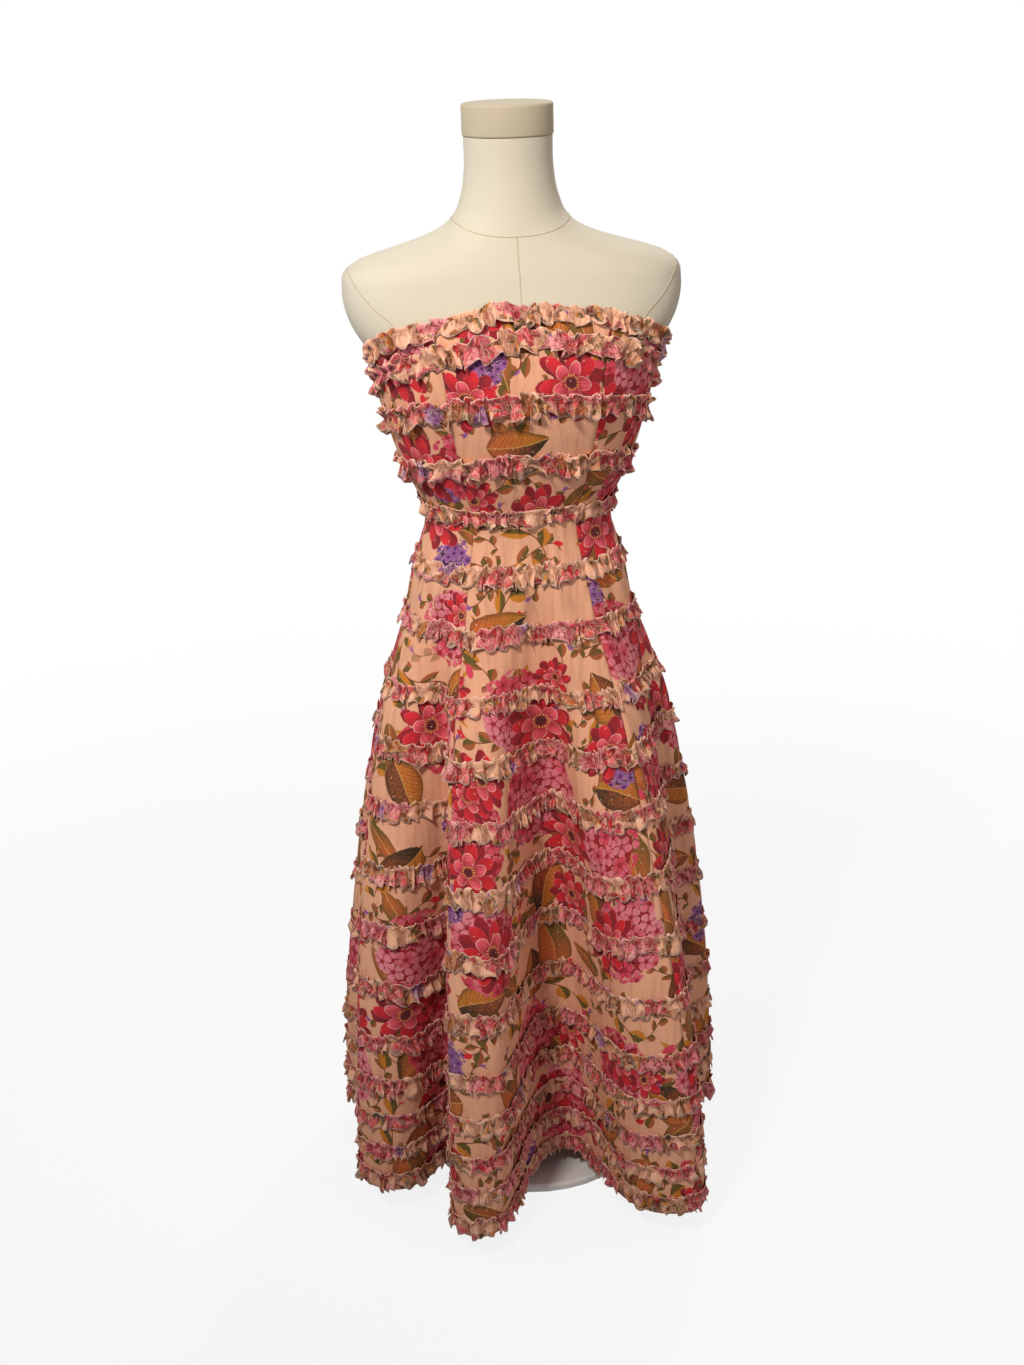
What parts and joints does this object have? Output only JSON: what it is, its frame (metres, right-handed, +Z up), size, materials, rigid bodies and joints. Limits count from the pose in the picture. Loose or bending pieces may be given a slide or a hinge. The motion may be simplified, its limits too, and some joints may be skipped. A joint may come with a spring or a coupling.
{
  "type": "strapless midi dress on a dress form",
  "caption": "Strapless fitted midi dress with rows of narrow gathered ruffles and a flared folded skirt, worn on a limbless dress form that stands on a round base.",
  "frame": {"origin": "centre of the round base's underside, on the floor", "axes": "+Z up, the front of the dress faces -Y, +X is the wearer's left"},
  "size_m": [0.5207, 0.5618, 1.3833],
  "materials": {
    "printed_cloth": "light woven cloth with a fine satin stripe and clipped dots, peach ground with a flower and leaf print",
    "ruffle_cloth": "the same printed cloth cut in narrow strips and closely gathered",
    "form_linen": "cream linen jersey drawn smooth over the form",
    "cap_paint": "matt beige cap",
    "stand_paint": "cream white lacquered steel",
    "zip_tape": "peach concealed zip tape",
    "zip_metal": "peach lacquered zip slider"
  },
  "bodies": {
    "root": {"form_torso": "form_linen", "neck_cap": "cap_paint", "stand_pole": "stand_paint", "stand_base": "stand_paint", "bodice_front": "printed_cloth", "bodice_side_front_left": "printed_cloth", "bodice_side_back_left": "printed_cloth", "bodice_back_left": "printed_cloth", "bodice_back_right": "printed_cloth", "bodice_side_back_right": "printed_cloth", "bodice_side_front_right": "printed_cloth", "skirt_front": "printed_cloth", "skirt_side_front_left": "printed_cloth", "skirt_side_back_left": "printed_cloth", "skirt_back_left": "printed_cloth", "skirt_back_right": "printed_cloth", "skirt_side_back_right": "printed_cloth", "skirt_side_front_right": "printed_cloth", "ruffle_top_edge": "ruffle_cloth", "ruffle_bodice_1": "ruffle_cloth", "ruffle_bodice_2": "ruffle_cloth", "ruffle_bodice_3": "ruffle_cloth", "ruffle_waist": "ruffle_cloth", "ruffle_skirt_01": "ruffle_cloth", "ruffle_skirt_02": "ruffle_cloth", "ruffle_skirt_03": "ruffle_cloth", "ruffle_skirt_04": "ruffle_cloth", "ruffle_skirt_05": "ruffle_cloth", "ruffle_skirt_06": "ruffle_cloth", "ruffle_skirt_07": "ruffle_cloth", "ruffle_skirt_08": "ruffle_cloth", "ruffle_skirt_09": "ruffle_cloth", "ruffle_skirt_10": "ruffle_cloth", "ruffle_skirt_11": "ruffle_cloth", "ruffle_skirt_12": "ruffle_cloth", "ruffle_hem": "ruffle_cloth", "zip_tape": "zip_tape", "zip_slider": "zip_metal"}
  },
  "joints": []
}
